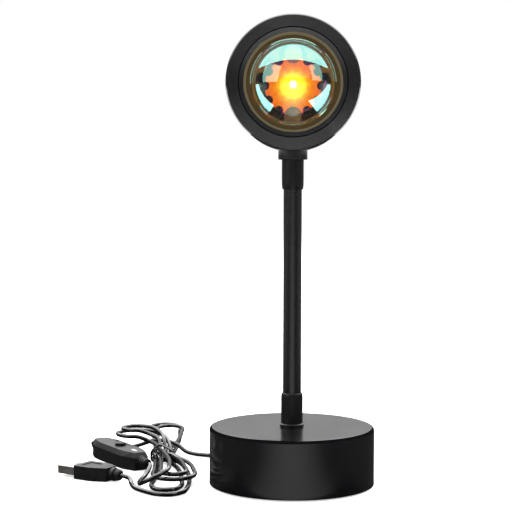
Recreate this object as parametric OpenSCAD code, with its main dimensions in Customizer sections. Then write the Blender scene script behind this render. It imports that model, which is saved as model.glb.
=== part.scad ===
// Sunset projection lamp: a weighted round base, a bendable neck and a drum-shaped
// head with a domed glass lens, with its cord, inline switch and USB plug.
// Millimetres. The origin is the centre of the underside, +Z is up, the lens faces -Y.

/* [Base] */
// Outer diameter of the base
base_d = 90; // [84:1:100]
// Height of the base above the surface that it stands on
base_h = 31.5; // [29:0.5:40]
// Wall of the base cover
base_wall = 2; // [1.6:0.1:2.6]
// Thickness of the cover's top
base_top_t = 2.5; // [2:0.1:3.5]
// Radius of the cover's upper edge
base_edge_r = 1.6; // [0.8:0.1:1.8]
// Shadow gap between the cover's rim and the surface
rim_gap = 0.6; // [0.6:0.1:1.6]
// Thickness of the foot pad
pad_t = 2; // [1.8:0.1:2.6]
// Thickness of the bottom plate
plate_t = 2.2; // [1.6:0.1:3]
// Thickness of the counterweight
weight_t = 11; // [8:0.5:12]
// Gap between the counterweight and the cover's wall
weight_gap = 2.5; // [1.5:0.1:6]
// Distance of the base screws from the cover's wall
base_screw_inset = 9; // [8:0.5:11]
// Height of the cable outlet above the surface
outlet_h = 9; // [8:0.5:11]

/* [Neck] */
// Outer diameter of the neck's jacket
neck_d = 10; // [9.6:0.1:11]
// Wall of the jacket
jacket_t = 0.5; // [0.4:0.05:0.6]
// Length of neck between the sleeves
neck_l = 110.7; // [90:0.1:130]
// Bore of the wound core
core_bore_d = 3.4; // [3.2:0.1:4]
// Bend of each bending point, either way, in degrees
bend_each = 21; // [15:0.5:22]
// Outer diameter of the sleeves
sleeve_d = 11.9; // [11.9:0.1:13]
// Diameter of the lower sleeve's foot
sleeve_foot_d = 13.1; // [12.6:0.1:15]
// Length of the lower sleeve
lower_sleeve_l = 18.5; // [17:0.5:24]
// Length of the upper sleeve
upper_sleeve_l = 16.1; // [15:0.5:22]
// Diameter of the threaded nipples
nipple_d = 8; // [7.6:0.1:8.4]

/* [Head] */
// Outer diameter of the head
head_d = 70; // [68:0.5:76]
// Wall of the head housing
head_wall = 2.5; // [2:0.1:3]
// Distance from the neck's axis to the bezel's front face
head_front = 34; // [33:0.5:36]
// Distance from the neck's axis to the rear face
head_rear = 32; // [31:0.5:36]
// Diameter of the collar between neck and head
collar_d = 15.8; // [15.6:0.1:18]
// Height of the collar below the head
collar_h = 4.7; // [4:0.1:6]
// Width of the bezel's ring
bezel_w = 9.3; // [9:0.1:10]
// Diameter of the lens dome
dome_d = 43.4; // [40:0.2:45]
// Height of the lens dome
dome_h = 12.2; // [10:0.1:13]
// Diameter of the star-shaped LED board
star_d = 18.6; // [18:0.2:22]
// Number of notches in the star-shaped LED board
star_notches = 12; // [10:2:12]
// Number of cooling fins
fin_count = 9; // [7:2:11]
// Number of vent slots in the rear cover
vent_count = 18; // [12:2:22]

/* [Cord] */
// Diameter of the cord
cord_d = 2.5; // [2.3:0.1:2.6]
// Length of the inline switch's shell
switch_l = 56; // [54:1:58]
// Width of the inline switch's shell
switch_w = 16; // [15:0.5:17]
// Height of the inline switch's shell
switch_h = 10; // [9.6:0.1:10.4]
// Diameter of the push button
button_d = 6.2; // [5.8:0.1:6.6]
// Travel of the push button
button_travel = 1.4; // [1:0.1:1.6]
// Length of the USB plug's overmould
usb_mould_l = 21; // [19:0.5:23]

/* [Hidden] */
$fn = 64;

// Radial clearance of pieces that fit into each other
slip = 0.1;
// Running clearance of the wound core inside its jacket
core_gap = 0.3;

// Heights along the neck
sleeve_top = base_h + lower_sleeve_l;
neck_top = sleeve_top + neck_l;
collar_bottom = neck_top + upper_sleeve_l;
head_z = collar_bottom + collar_h + head_d / 2;

// Base
cover_r = base_d / 2;
cavity_r = cover_r - base_wall;
plate_z = pad_t;
weight_z = plate_z + plate_t;
ceiling_z = base_h - base_top_t;
pad_r = cavity_r - 1;
weight_r = cavity_r - weight_gap;
base_screw_ring = cavity_r - base_screw_inset;
boss_r = 3.5;
m3_r = 1.5;
m3_head_r = 2.7;
m3_head_h = 1.6;
base_screw_l = 13;
led_screw_l = 5;
rear_screw_l = 9;
outlet_r = 4.2;
grommet_flange_r = outlet_r + 1.2;
grommet_flange_t = 1.5;
snout_l = 10;

// Neck
jacket_r = neck_d / 2;
core_r = jacket_r - jacket_t - core_gap;
core_bore_r = core_bore_d / 2;
joints = 8;
pitch = neck_l / joints;
turns = 6;
turn_groove = 0.45;
tip_gap = 0.4;
tip_angle = bend_each / 2 + 1;
grip_l = 9;
sleeve_bore_r = jacket_r + slip;
nipple_r = nipple_d / 2;
nipple_bore_r = 2;
washer_r = 7.5;
washer_t = 1;
nut_w = 12;
nut_h = 4;
function joint_z(i) = sleeve_top + (i + 0.5) * pitch;
core_bottom_z = sleeve_top - grip_l;
core_top_z = neck_top + grip_l;

// Head
head_r = head_d / 2;
bore_r = head_r - head_wall;
bezel_t = 6;
opening_r = head_r - bezel_w;
bezel_step_r = opening_r + 2.4;
lip_t = 0.7;
lens_flange_r = opening_r + 1.7;
lens_flange_t = 3;
lens_back = head_front - lip_t - lens_flange_t;
dome_r = dome_d / 2;
dome_sphere_r = (dome_r * dome_r + dome_h * dome_h) / (2 * dome_h);
gasket_t = 1.2;
filter_t = 1.1;
barrel_front = lens_back - gasket_t;
filter_r = lens_flange_r - 3.1;
filter_back = barrel_front - 0.3;
ledge_t = 3;
ledge_front = barrel_front - 5.1;
ledge_r = lens_flange_r + 2.1;
sink_face = 14.5;
sink_r = 20;
sink_base_t = 4;
fin_l = 11;
star_r = star_d / 2;
star_t = 1.6;
notch_r = 1.15;
screw_notch_r = 1.7;
barrel_hole_r = star_r + 3;
barrel_plate_t = 2;
rear_t = 4;
rear_screw_ring = bore_r - 3.4;
driver_w = 26;
driver_h = 19;
driver_t = 1.2;
driver_face = 20.8;

// Cord, as it lies: positions on the surface in the lamp's own frame
cord_r = cord_d / 2;
cord_step = cord_d + 0.7;
tie_at = [-76, 56];
tie_wall = 0.8;
tie_floor = tie_wall + 0.1;
tie_l = 4;
switch_at = [-101, 54];
switch_turn = -57;
switch_axis_z = 5;
switch_wall = 1.2;
switch_split = 5;
relief_l = 8;
relief_back_l = 6;
button_x = 1;
button_proud = 1.8;
button_flange = 0.9;
window_x = 19;
usb_at = [-93.5, -1];
usb_turn = 149;
usb_relief_l = 7;
usb_w = 15.5;
usb_h = 7.5;
// Standard size of the USB-A shell: width, height, visible length and sheet
usb_shell_w = 12;
usb_shell_h = 4.5;
usb_shell_l = 12;
usb_sheet = 0.3;

// ---------------------------------------------------------------- shared shapes

// Places its children on the head's axis, local +Z towards the lens, local +Y up
module on_head() {
    translate([0, 0, head_z]) rotate([90, 0, 0]) children();
}

module tube(r, bore, h) {
    difference() {
        cylinder(r = r, h = h);
        translate([0, 0, -1]) cylinder(r = bore, h = h + 2);
    }
}

module hex_nut(bore) {
    difference() {
        cylinder(r = nut_w / 2 / cos(30), h = nut_h, $fn = 6);
        translate([0, 0, -1]) cylinder(r = bore, h = nut_h + 2);
    }
}

// Pan-head screw: the head stands below z = 0 and the shank above it
module pan_screw(length) {
    cylinder(r = m3_r, h = length);
    difference() {
        translate([0, 0, -m3_head_h]) cylinder(r = m3_head_r, h = m3_head_h);
        translate([-0.4, -m3_head_r * 0.7, -m3_head_h - 1]) cube([0.8, m3_head_r * 1.4, 1.6]);
        translate([-m3_head_r * 0.7, -0.4, -m3_head_h - 1]) cube([m3_head_r * 1.4, 0.8, 1.6]);
    }
}

module ring_of(count, radius, start = 0) {
    for (i = [0 : count - 1])
        rotate(start + i * 360 / count) translate([radius, 0, 0]) children();
}

// A smooth curve through points: steps samples for each stretch
function slope(a, b, c) = let (h = norm(b - a), k = norm(c - b))
    h == 0 ? (c - b) / k : k == 0 ? (b - a) / h : ((b - a) * k / h + (c - b) * h / k) / (h + k);
function curve_point(a, b, c, d, t) = let (h = norm(c - b), u = t * t * (3 - 2 * t))
    b * (1 - u) + c * u + slope(a, b, c) * h * t * (1 - t) * (1 - t)
        - slope(b, c, d) * h * t * t * (1 - t);
function smooth_route(p, steps) = [
    for (i = [0 : len(p) - 2]) for (k = [0 : steps - 1])
        curve_point(p[max(i - 1, 0)], p[i], p[i + 1], p[min(i + 2, len(p) - 1)], k / steps),
    p[len(p) - 1]];
function unit(v) = v / norm(v);
function heading(p, i) = unit(p[min(i + 1, len(p) - 1)] - p[max(i - 1, 0)]);
function side_start(d) = unit(cross(d, abs(d[2]) < 0.9 ? [0, 0, 1] : [0, 1, 0]));
function side_next(d, s) = unit(s - d * (d * s));
// Sideways directions along a route, turned as little as possible from one to the next
function sides_along(p) = [
    for (i = 0, s = side_start(heading(p, 0)); i < len(p);
        i = i + 1, s = i < len(p) ? side_next(heading(p, i), s) : s) s];

// One closed tube along the points of a route
module route_tube(p, r, faces) {
    sides = sides_along(p);
    last = len(p) - 1;
    points = [for (i = [0 : last]) for (k = [0 : faces - 1])
        p[i] + r * (cos(k * 360 / faces) * sides[i]
            + sin(k * 360 / faces) * cross(heading(p, i), sides[i]))];
    walls = [for (i = [0 : last - 1]) for (k = [0 : faces - 1]) each [
        [i * faces + k, i * faces + (k + 1) % faces, (i + 1) * faces + k],
        [(i + 1) * faces + k, i * faces + (k + 1) % faces, (i + 1) * faces + (k + 1) % faces]]];
    ends = [for (k = [1 : faces - 2]) each [
        [0, k + 1, k],
        [last * faces, last * faces + k, last * faces + k + 1]]];
    polyhedron(points, concat(walls, ends), convexity = 8);
}

// ---------------------------------------------------------------- base

grommet_inner_y = cavity_r - 0.5;

module base_screw_places() {
    ring_of(3, base_screw_ring, 30) children();
}

module base_cover() {
    color("#2a2a2c") difference() {
        union() {
            difference() {
                rotate_extrude($fn = 128) difference() {
                    union() {
                        translate([0, rim_gap])
                            square([cover_r, base_h - base_edge_r - rim_gap]);
                        square_top = base_h - base_edge_r;
                        translate([0, square_top])
                            square([cover_r - base_edge_r, base_edge_r]);
                        translate([cover_r - base_edge_r, square_top])
                            intersection() {
                                circle(r = base_edge_r, $fn = 48);
                                square(base_edge_r);
                            }
                    }
                    translate([-1, 0]) square([cavity_r + 1, ceiling_z]);
                }
            }
            base_screw_places() translate([0, 0, weight_z])
                cylinder(r = boss_r, h = ceiling_z - weight_z + 0.5);
        }
        base_screw_places() translate([0, 0, weight_z - 1])
            cylinder(r = m3_r + slip, h = base_screw_l);
        translate([0, 0, ceiling_z - 1]) cylinder(r = nipple_r + slip, h = base_top_t + 2);
        translate([0, cavity_r - 3, outlet_h]) rotate([-90, 0, 0])
            cylinder(r = outlet_r, h = base_wall + 5);
    }
}

module bottom_plate() {
    color("#202022") difference() {
        translate([0, 0, plate_z]) cylinder(r = cavity_r - slip, h = plate_t, $fn = 128);
        base_screw_places() translate([0, 0, plate_z - 1]) cylinder(r = m3_r + slip, h = plate_t + 2);
        translate([0, grommet_inner_y - grommet_flange_t - 0.3, outlet_h]) rotate([-90, 0, 0])
            cylinder(r = grommet_flange_r + 0.3, h = grommet_flange_t + 4);
    }
}

module foot_pad() {
    color("#18181a") difference() {
        cylinder(r = pad_r, h = pad_t, $fn = 128);
        base_screw_places() translate([0, 0, -1]) cylinder(r = m3_head_r + 0.6, h = pad_t + 2);
    }
}

module counterweight() {
    slot_w = 2 * grommet_flange_r + 2;
    color("#6b6b6e") difference() {
        translate([0, 0, weight_z]) cylinder(r = weight_r, h = weight_t, $fn = 128);
        translate([0, 0, weight_z - 1]) cylinder(r = 12, h = weight_t + 2);
        base_screw_places() translate([0, 0, weight_z - 1])
            cylinder(r = boss_r + 0.4, h = weight_t + 2);
        translate([-slot_w / 2, 0, weight_z - 1]) cube([slot_w, 2 * weight_r, weight_t + 2]);
    }
}

module base_screws() {
    color("#9a9a9c") base_screw_places() translate([0, 0, plate_z]) pan_screw(base_screw_l);
}

// Bushing in the rear wall with an inner flange, an outer flange and a tapered snout
module cable_grommet() {
    color("#1c1c1e") difference() {
        translate([0, 0, outlet_h]) rotate([-90, 0, 0]) union() {
            translate([0, 0, grommet_inner_y - grommet_flange_t])
                cylinder(r = grommet_flange_r, h = grommet_flange_t);
            translate([0, 0, grommet_inner_y - 1]) cylinder(r = outlet_r - slip, h = base_wall + 2);
            translate([0, 0, cover_r]) cylinder(r = grommet_flange_r, h = 1.4);
            translate([0, 0, cover_r + 1]) cylinder(r1 = 3.6, r2 = 2.3, h = snout_l - 1);
        }
        translate([0, 0, outlet_h]) rotate([-90, 0, 0]) translate([0, 0, cavity_r - 6])
            cylinder(r = cord_r + slip, h = snout_l + 12);
    }
}

// Cable tie inside the wall that keeps a pull on the cord off the joints
module cable_stop() {
    stop_y = cavity_r - 5.2;
    color("#d8d8d4") difference() {
        union() {
            translate([0, stop_y, outlet_h]) rotate([-90, 0, 0]) cylinder(r = cord_r + 1.2, h = 2.6);
            translate([-2, stop_y, outlet_h + 1.6]) cube([4, 2.6, 3.4]);
        }
        translate([0, stop_y - 1, outlet_h]) rotate([-90, 0, 0]) cylinder(r = cord_r + slip, h = 5);
    }
}

outlet_end = [0, cover_r + snout_l, outlet_h];
base_cable_route = [outlet_end, [0, 46, outlet_h], [0, 37, outlet_h], [0, 26, outlet_h],
    [0, 15, 9.2], [0, 6, 11], [0, 1, 15.5], [0, 0, 20], [0, 0, 26],
    [0, 0, core_bottom_z - slip]];

module base_cable() {
    color("#1a1a1a") route_tube(smooth_route(base_cable_route, 2), cord_r, 8);
}

module base_nipple() {
    bottom = ceiling_z - washer_t - nut_h - 3;
    color("#b9b9b2") translate([0, 0, bottom])
        tube(nipple_r, nipple_bore_r, core_bottom_z - bottom);
}

module base_washer() {
    color("#a9a9a6") translate([0, 0, ceiling_z - washer_t])
        tube(washer_r, nipple_r + slip, washer_t);
}

module base_nut() {
    color("#b9b9b2") translate([0, 0, ceiling_z - washer_t - nut_h]) hex_nut(nipple_r + slip);
}

// ---------------------------------------------------------------- neck

// Sleeve standing on z = 0: a threaded lower part, and a wide bore that grips the neck
module sleeve(length, foot_r, foot_h, taper) {
    difference() {
        rotate_extrude($fn = 64) polygon([[0, 0], [foot_r, 0], [foot_r, foot_h - 0.4],
            [sleeve_d / 2, foot_h], each [for (a = [0 : 15 : 90]) [
                mix(jacket_r + 0.3, sleeve_d / 2, cos(a)), mix(length - taper, length, sin(a))]],
            [0, length]]);
        translate([0, 0, -1]) cylinder(r = nipple_r + slip, h = length);
        translate([0, 0, length - grip_l]) cylinder(r = sleeve_bore_r, h = grip_l + 1);
    }
}

module lower_sleeve() {
    color("#222224") translate([0, 0, base_h])
        sleeve(lower_sleeve_l, sleeve_foot_d / 2, 1.8, 2.6);
}

module upper_sleeve() {
    color("#222224") translate([0, 0, collar_bottom]) rotate([180, 0, 0])
        sleeve(upper_sleeve_l, sleeve_d / 2, 1.8, 3.3);
}

// A length of the wound core between two bending points: coned ends leave room to bend,
// and a shallow groove separates each turn of the winding from the next
module core_length(z0, z1, cone0, cone1) {
    rise = tan(tip_angle);
    low = cone0 ? z0 + tip_gap / 2 : z0;
    high = cone1 ? z1 - tip_gap / 2 : z1;
    low_rim = low + (cone0 ? core_r * rise : 0);
    high_rim = high - (cone1 ? core_r * rise : 0);
    turn = (high_rim - low_rim) / turns;
    outer = [for (k = [0 : turns - 1]) each [
        [core_r, low_rim + turn * (k + 0.02)],
        [core_r, low_rim + turn * (k + 0.72)],
        if (k < turns - 1) [core_r - turn_groove, low_rim + turn * (k + 0.87)]],
        [core_r, high_rim]];
    rotate_extrude($fn = 48) polygon(concat(
        [[core_bore_r, low + (cone0 ? core_bore_r * rise : 0)]], outer,
        [[core_bore_r, high - (cone1 ? core_bore_r * rise : 0)]]));
}

module neck_link(i) {
    color("#8d8d8f") core_length(joint_z(i - 1), joint_z(i), true, true);
}

module neck_core_bottom() {
    color("#8d8d8f") core_length(core_bottom_z, joint_z(0), false, true);
}

module neck_core_top() {
    color("#8d8d8f") core_length(joint_z(joints - 1), core_top_z, true, false);
}

module neck_jacket() {
    color("#1b1b1d") translate([0, 0, core_bottom_z + 0.5])
        tube(jacket_r, jacket_r - jacket_t, core_top_z - core_bottom_z - 1);
}

module neck_wire() {
    color("#1a1a1a") translate([0, 0, core_bottom_z])
        cylinder(r = cord_r, h = core_top_z - core_bottom_z);
}

module collar() {
    color("#2b2b2d") difference() {
        translate([0, 0, collar_bottom]) rotate_extrude($fn = 64) polygon([[0, 0],
            [collar_d / 2 - 0.5, 0], [collar_d / 2 - 0.15, 0.15], [collar_d / 2, 0.5],
            [collar_d / 2, collar_h + 4], [0, collar_h + 4]]);
        on_head() translate([0, 0, -collar_d]) cylinder(r = head_r, h = 2 * collar_d, $fn = 128);
        translate([0, 0, collar_bottom - 1]) cylinder(r = nipple_r + slip, h = collar_h + 8);
    }
}

wall_z = head_z - bore_r;
saddle_top = wall_z + 2.6;

module head_nipple() {
    color("#b9b9b2") translate([0, 0, core_top_z])
        tube(nipple_r, nipple_bore_r, saddle_top + nut_h + 1 - core_top_z);
}

module saddle_washer() {
    color("#a9a9a6") difference() {
        intersection() {
            translate([0, 0, wall_z - 2]) cylinder(r = washer_r, h = saddle_top - wall_z + 2);
            on_head() translate([0, 0, -washer_r - 1])
                cylinder(r = bore_r, h = 2 * washer_r + 2, $fn = 128);
        }
        translate([0, 0, wall_z - 3]) cylinder(r = nipple_r + slip, h = 12);
    }
}

module head_nut() {
    color("#b9b9b2") translate([0, 0, saddle_top]) hex_nut(nipple_r + slip);
}

// ---------------------------------------------------------------- head

module rear_screw_places() {
    ring_of(3, rear_screw_ring, 90) children();
}

module head_housing() {
    length = head_front - bezel_t + head_rear - rear_t;
    color("#28282a") difference() {
        on_head() union() {
            translate([0, 0, rear_t - head_rear]) difference() {
                cylinder(r = head_r, h = length, $fn = 128);
                translate([0, 0, -1]) cylinder(r = bore_r, h = length + 2, $fn = 128);
            }
            translate([0, 0, ledge_front - ledge_t]) difference() {
                cylinder(r = bore_r + 0.5, h = ledge_t, $fn = 128);
                translate([0, 0, -1]) cylinder(r = lens_flange_r - 0.5, h = ledge_t + 2, $fn = 96);
            }
            rear_screw_places() translate([0, 0, rear_t - head_rear]) intersection() {
                cylinder(r = 3.6, h = 10);
                translate([-rear_screw_ring, 0, 0]) cylinder(r = bore_r + 0.5, h = 10, $fn = 128);
            }
        }
        on_head() rear_screw_places() translate([0, 0, rear_t - head_rear - 1])
            cylinder(r = m3_r + slip, h = 10);
        translate([0, 0, head_z - head_r - 1]) cylinder(r = nipple_r + slip, h = head_wall + 4);
    }
}

module front_bezel() {
    front = head_front;
    back = head_front - bezel_t;
    pocket_r = lens_flange_r + 0.2;
    line_w = 0.35;
    line_depth = 0.4;
    color("#262628") on_head() rotate_extrude($fn = 128) polygon([
        [pocket_r, barrel_front + 0.2], [ledge_r, barrel_front + 0.2],
        [ledge_r, ledge_front + 0.4], [bore_r - slip, ledge_front + 0.4],
        [bore_r - slip, back], [head_r, back], [head_r, front - 0.6], [head_r - 0.6, front],
        [bezel_step_r + line_w, front], [bezel_step_r + line_w, front - line_depth],
        [bezel_step_r, front - line_depth], [bezel_step_r, front - 0.05],
        [opening_r + 0.3, front - 0.25], [opening_r, front - 0.45], [opening_r, front - lip_t],
        [pocket_r, front - lip_t]]);
}

// Plano-convex lens: a flat flange with broken edges, and a dome with a small foot
module lens() {
    dome_foot = 0.6;
    color("#bfe6e0") on_head() union() {
        translate([0, 0, lens_back]) rotate_extrude($fn = 128) polygon([
            [0, 0], [lens_flange_r - 0.4, 0], [lens_flange_r, 0.4],
            [lens_flange_r, lens_flange_t - 0.4], [lens_flange_r - 0.4, lens_flange_t],
            [dome_r + dome_foot, lens_flange_t], [dome_r + dome_foot * 0.35, lens_flange_t + 0.2],
            [dome_r + 0.02, lens_flange_t + dome_foot], [0, lens_flange_t + dome_foot]]);
        intersection() {
            translate([0, 0, lens_back + lens_flange_t + dome_h - dome_sphere_r])
                sphere(r = dome_sphere_r, $fn = 128);
            translate([0, 0, lens_back + 1]) cylinder(r = dome_r, h = dome_h + 10, $fn = 128);
        }
    }
}

module lens_gasket() {
    color("#151515") on_head() translate([0, 0, barrel_front])
        tube(lens_flange_r, filter_r + 0.3, gasket_t, $fn = 96);
}

module colour_filter() {
    color("#e8a24a") on_head() translate([0, 0, filter_back]) cylinder(r = filter_r, h = filter_t, $fn = 96);
}

// Holder between the lens and the LED: a flange in front, a cone, and a plate behind
module lens_barrel() {
    wall = 1.8;
    seat_r = filter_r - 0.9;
    plate_front = sink_face + barrel_plate_t;
    color("#3a3428") difference() {
        on_head() rotate_extrude($fn = 96) polygon([
            [filter_r + 0.2, barrel_front], [ledge_r - 0.6, barrel_front],
            [ledge_r - 0.6, ledge_front], [lens_flange_r - 0.9, ledge_front],
            [seat_r + wall, ledge_front - 0.6], [barrel_hole_r + wall, plate_front + 2.3],
            [barrel_hole_r + wall, plate_front], [sink_r, plate_front],
            [sink_r, sink_face], [barrel_hole_r, sink_face], [barrel_hole_r, plate_front + 3],
            [seat_r, filter_back - 1.2], [seat_r, filter_back], [filter_r + 0.2, filter_back]]);
        on_head() led_plate_screws() translate([0, 0, sink_face - 1]) cylinder(r = m3_r + slip, h = 5);
    }
}

module led_star_screws() {
    ring_of(2, star_r, 90) children();
}

module led_plate_screws() {
    ring_of(2, barrel_hole_r + 5, 0) children();
}

module led_board() {
    color("#f2efe6") on_head() translate([0, 0, sink_face]) difference() {
        cylinder(r = star_r, h = star_t);
        ring_of(star_notches, star_r, 90) translate([0, 0, -1]) cylinder(r = notch_r, h = star_t + 2);
        led_star_screws() translate([0, 0, -1]) cylinder(r = screw_notch_r, h = star_t + 2);
    }
}

module led_emitter() {
    color("#f5d23c") on_head() translate([0, 0, sink_face + star_t]) union() {
        cylinder(r = 3.8, h = 0.8);
        intersection() {
            translate([0, 0, 0.6]) sphere(r = 2.6, $fn = 48);
            translate([0, 0, 0.4]) cylinder(r = 3, h = 4);
        }
    }
}

module led_screws() {
    color("#9a9a9c") on_head() {
        led_star_screws() translate([0, 0, sink_face + star_t]) rotate([180, 0, 0]) pan_screw(led_screw_l);
        led_plate_screws() translate([0, 0, sink_face + barrel_plate_t]) rotate([180, 0, 0]) pan_screw(led_screw_l);
    }
}

module heat_sink() {
    fin_step = 2 * sink_r / fin_count;
    fin_t = fin_step * 0.34;
    color("#b4b7ba") on_head() difference() {
        union() {
            translate([0, 0, sink_face - sink_base_t]) cylinder(r = sink_r, h = sink_base_t);
            intersection() {
                translate([0, 0, sink_face - sink_base_t - fin_l])
                    cylinder(r = sink_r, h = fin_l + 1);
                for (i = [0 : fin_count - 1])
                    translate([-sink_r + (i + 0.5) * fin_step - fin_t / 2, -sink_r,
                        sink_face - sink_base_t - fin_l])
                        cube([fin_t, 2 * sink_r, fin_l + 0.5]);
            }
        }
        led_star_screws() translate([0, 0, sink_face - sink_base_t])
            cylinder(r = m3_r + slip, h = sink_base_t + 2);
        led_plate_screws() translate([0, 0, sink_face - sink_base_t])
            cylinder(r = m3_r + slip, h = sink_base_t + 2);
    }
}

module driver_posts() {
    for (x = [-1, 1]) for (y = [-1, 1])
        translate([x * (driver_w / 2 - 3), y * (driver_h / 2 - 3), 0]) children();
}

module driver_board() {
    color("#2f6b3a") on_head() translate([0, 0, -driver_face - driver_t]) union() {
        translate([-driver_w / 2, -driver_h / 2, 0]) cube([driver_w, driver_h, driver_t]);
        translate([-7, 3, driver_t]) cylinder(r = 3, h = 3.4);
        translate([2, -2, driver_t]) cube([6, 5, 1.6]);
        translate([-10, -5, driver_t]) cube([3.4, 2, 1.2]);
        translate([-3, -6, driver_t]) cube([3.4, 2, 1.2]);
    }
}

head_cable_route = [[0, 0, core_top_z + slip], [0, 0, core_top_z + 8], [0, 0, wall_z + 1],
    [0, 0, wall_z + 7], [0, 0.1, wall_z + 8], [0, 1.4, wall_z + 9.8], [0, 4, wall_z + 10.9],
    [0, 9, wall_z + 11.8], [0, 13.4, wall_z + 13.6], [0, 15.4, wall_z + 17],
    [0, 15.8, wall_z + 20.6], [0, 17.2, wall_z + 23.6], [0, driver_face - 1.8, head_z - driver_h / 2 + 1.6],
    [0, driver_face - 0.2, head_z - driver_h / 2 + 1.6]];

module head_cable() {
    color("#1a1a1a") route_tube(smooth_route(head_cable_route, 2), cord_r, 8);
}

module vent_slot(length, width) {
    translate([0, -width / 2, 0]) cube([length, width, rear_t + 4]);
    cylinder(r = width / 2, h = rear_t + 4, $fn = 24);
    translate([length, 0, 0]) cylinder(r = width / 2, h = rear_t + 4, $fn = 24);
}

module rear_cover() {
    edge = 2;
    color("#28282a") on_head() translate([0, 0, -head_rear]) difference() {
        union() {
            rotate_extrude($fn = 128) union() {
                translate([0, edge]) square([head_r, rear_t - edge]);
                square([head_r - edge, rear_t]);
                translate([head_r - edge, edge]) intersection() {
                    circle(r = edge, $fn = 48);
                    translate([0, -edge]) square(edge);
                }
            }
            driver_posts() cylinder(r = 1.9, h = head_rear - driver_face - driver_t);
        }
        ring_of(vent_count, 19.5, 90 + 180 / vent_count) translate([0, 0, -2]) vent_slot(6, 1.8);
        rear_screw_places() {
            translate([0, 0, -1]) cylinder(r = m3_r + slip, h = rear_t + 2);
            translate([0, 0, -1]) cylinder(r = m3_head_r + 0.3, h = m3_head_h + 1);
        }
    }
}

module rear_screws() {
    color("#9a9a9c") on_head() rear_screw_places()
        translate([0, 0, m3_head_h - head_rear]) pan_screw(rear_screw_l);
}

// ---------------------------------------------------------------- cord

// Hank: each lobe leaves one place of the tied bundle and comes back to another, along a
// bent centre line from the tie to the middle of its round end. A place is [column, row];
// a lobe is [leave, arrive, bend of the line, middle of the end, half width, height,
// share of the height near the tie, sides].
function place(c) = [tie_at[0] + (c[0] - 1.5) * cord_step, tie_at[1],
    tie_floor + cord_r + c[1] * cord_step];

long_sides = [[0.2, 0.22], [0.48, 0.7], [0.8, 0.96]];
short_sides = [[0.25, 0.05], [0.5, 0.45], [0.82, 0.9]];
far_lobes = [
    [[3, 0], [0, 0], [-1, 60], [-8, 109], 8.8, cord_r, 0.85, long_sides],
    [[2, 0], [0, 1], [1, 45], [-3, 86], 7.6, cord_r + cord_step, 0.85, long_sides],
    [[3, 1], [1, 1], [-1, 16], [-18, 20], 10.8, 12.8, 0.35, short_sides],
    [[2, 1], [1, 2], [-1, 16], [-18, 20], 7.6, 12.8 + cord_step, 0.5, short_sides]];
near_lobes = [
    [[0, 0], [2, 0], [8, -24], [8.5, -73], 7.6, cord_r, 0.85, long_sides],
    [[0, 1], [3, 1], [10, -24], [11.5, -58], 11.2, cord_r + cord_step, 0.85, long_sides],
    [[1, 1], [2, 1], [8, -25], [11.5, -58], 6.8, cord_r + cord_step + 1.8, 0.85, long_sides]];

function mix(a, b, t) = a * (1 - t) + b * t;
function line_at(bend, end, t) = 2 * t * (1 - t) * bend + t * t * end;
function line_way(bend, end, t) = unit(2 * (1 - 2 * t) * bend + 2 * t * end);
function across(way) = [way[1], -way[0]];
function raise(p, z) = [tie_at[0] + p[0], tie_at[1] + p[1], z];

// Sides from the bundle to the round end: shares of the line and of the full width
function lobe_side(c, lobe, i, offset) =
    let (k = lobe[7][i], line = line_at(lobe[2], lobe[3], k[0]),
        way = line_way(lobe[2], lobe[3], k[0]),
        spread = mix(line + [c[0] - tie_at[0], 0], line + across(way) * offset, k[1]))
    raise(spread, mix(c[2], lobe[5], [lobe[6], (1 + lobe[6]) / 2, 1][i]));
function lobe_points(lobe) =
    let (from = place(lobe[0]), to = place(lobe[1]), end = lobe[3],
        out = [0, sign(end[1]) * (tie_l / 2 + 0.6), 0],
        turn = end[1] * (lobe[0][0] - lobe[1][0]) > 0 ? 1 : -1,
        w = lobe[4] * turn, way = line_way(lobe[2], end, 1))
    [from, from + out,
    for (i = [0 : 2]) lobe_side(from, lobe, i, w),
    for (a = [90 : -45 : -90])
        raise(end + way * abs(w) * cos(a) + across(way) * w * sin(a), lobe[5]),
    for (i = [2 : -1 : 0]) lobe_side(to, lobe, i, -w),
    to + out];

hank_points = [for (i = [0 : len(far_lobes) - 1]) each concat(
    lobe_points(far_lobes[i]),
    i < len(near_lobes) ? lobe_points(near_lobes[i]) : [place(far_lobes[i][1])])];

function local_to_floor(at, turn, p) = [
    at[0] + p[0] * cos(turn) - p[1] * sin(turn),
    at[1] + p[0] * sin(turn) + p[1] * cos(turn), p[2]];
// The two runs meet the hank inside the tie, and lie straight until they are out of it
run_gap = [0, 0.2, 0];
run_straight = [0, tie_l / 2 + 0.6, 0];
function switch_point(x) = local_to_floor(switch_at, switch_turn, [x, 0, switch_axis_z]);
switch_front_x = switch_l / 2 + relief_l;
switch_back_x = -switch_l / 2 - relief_back_l;
usb_end = [usb_at[0], usb_at[1], usb_h / 2];

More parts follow.
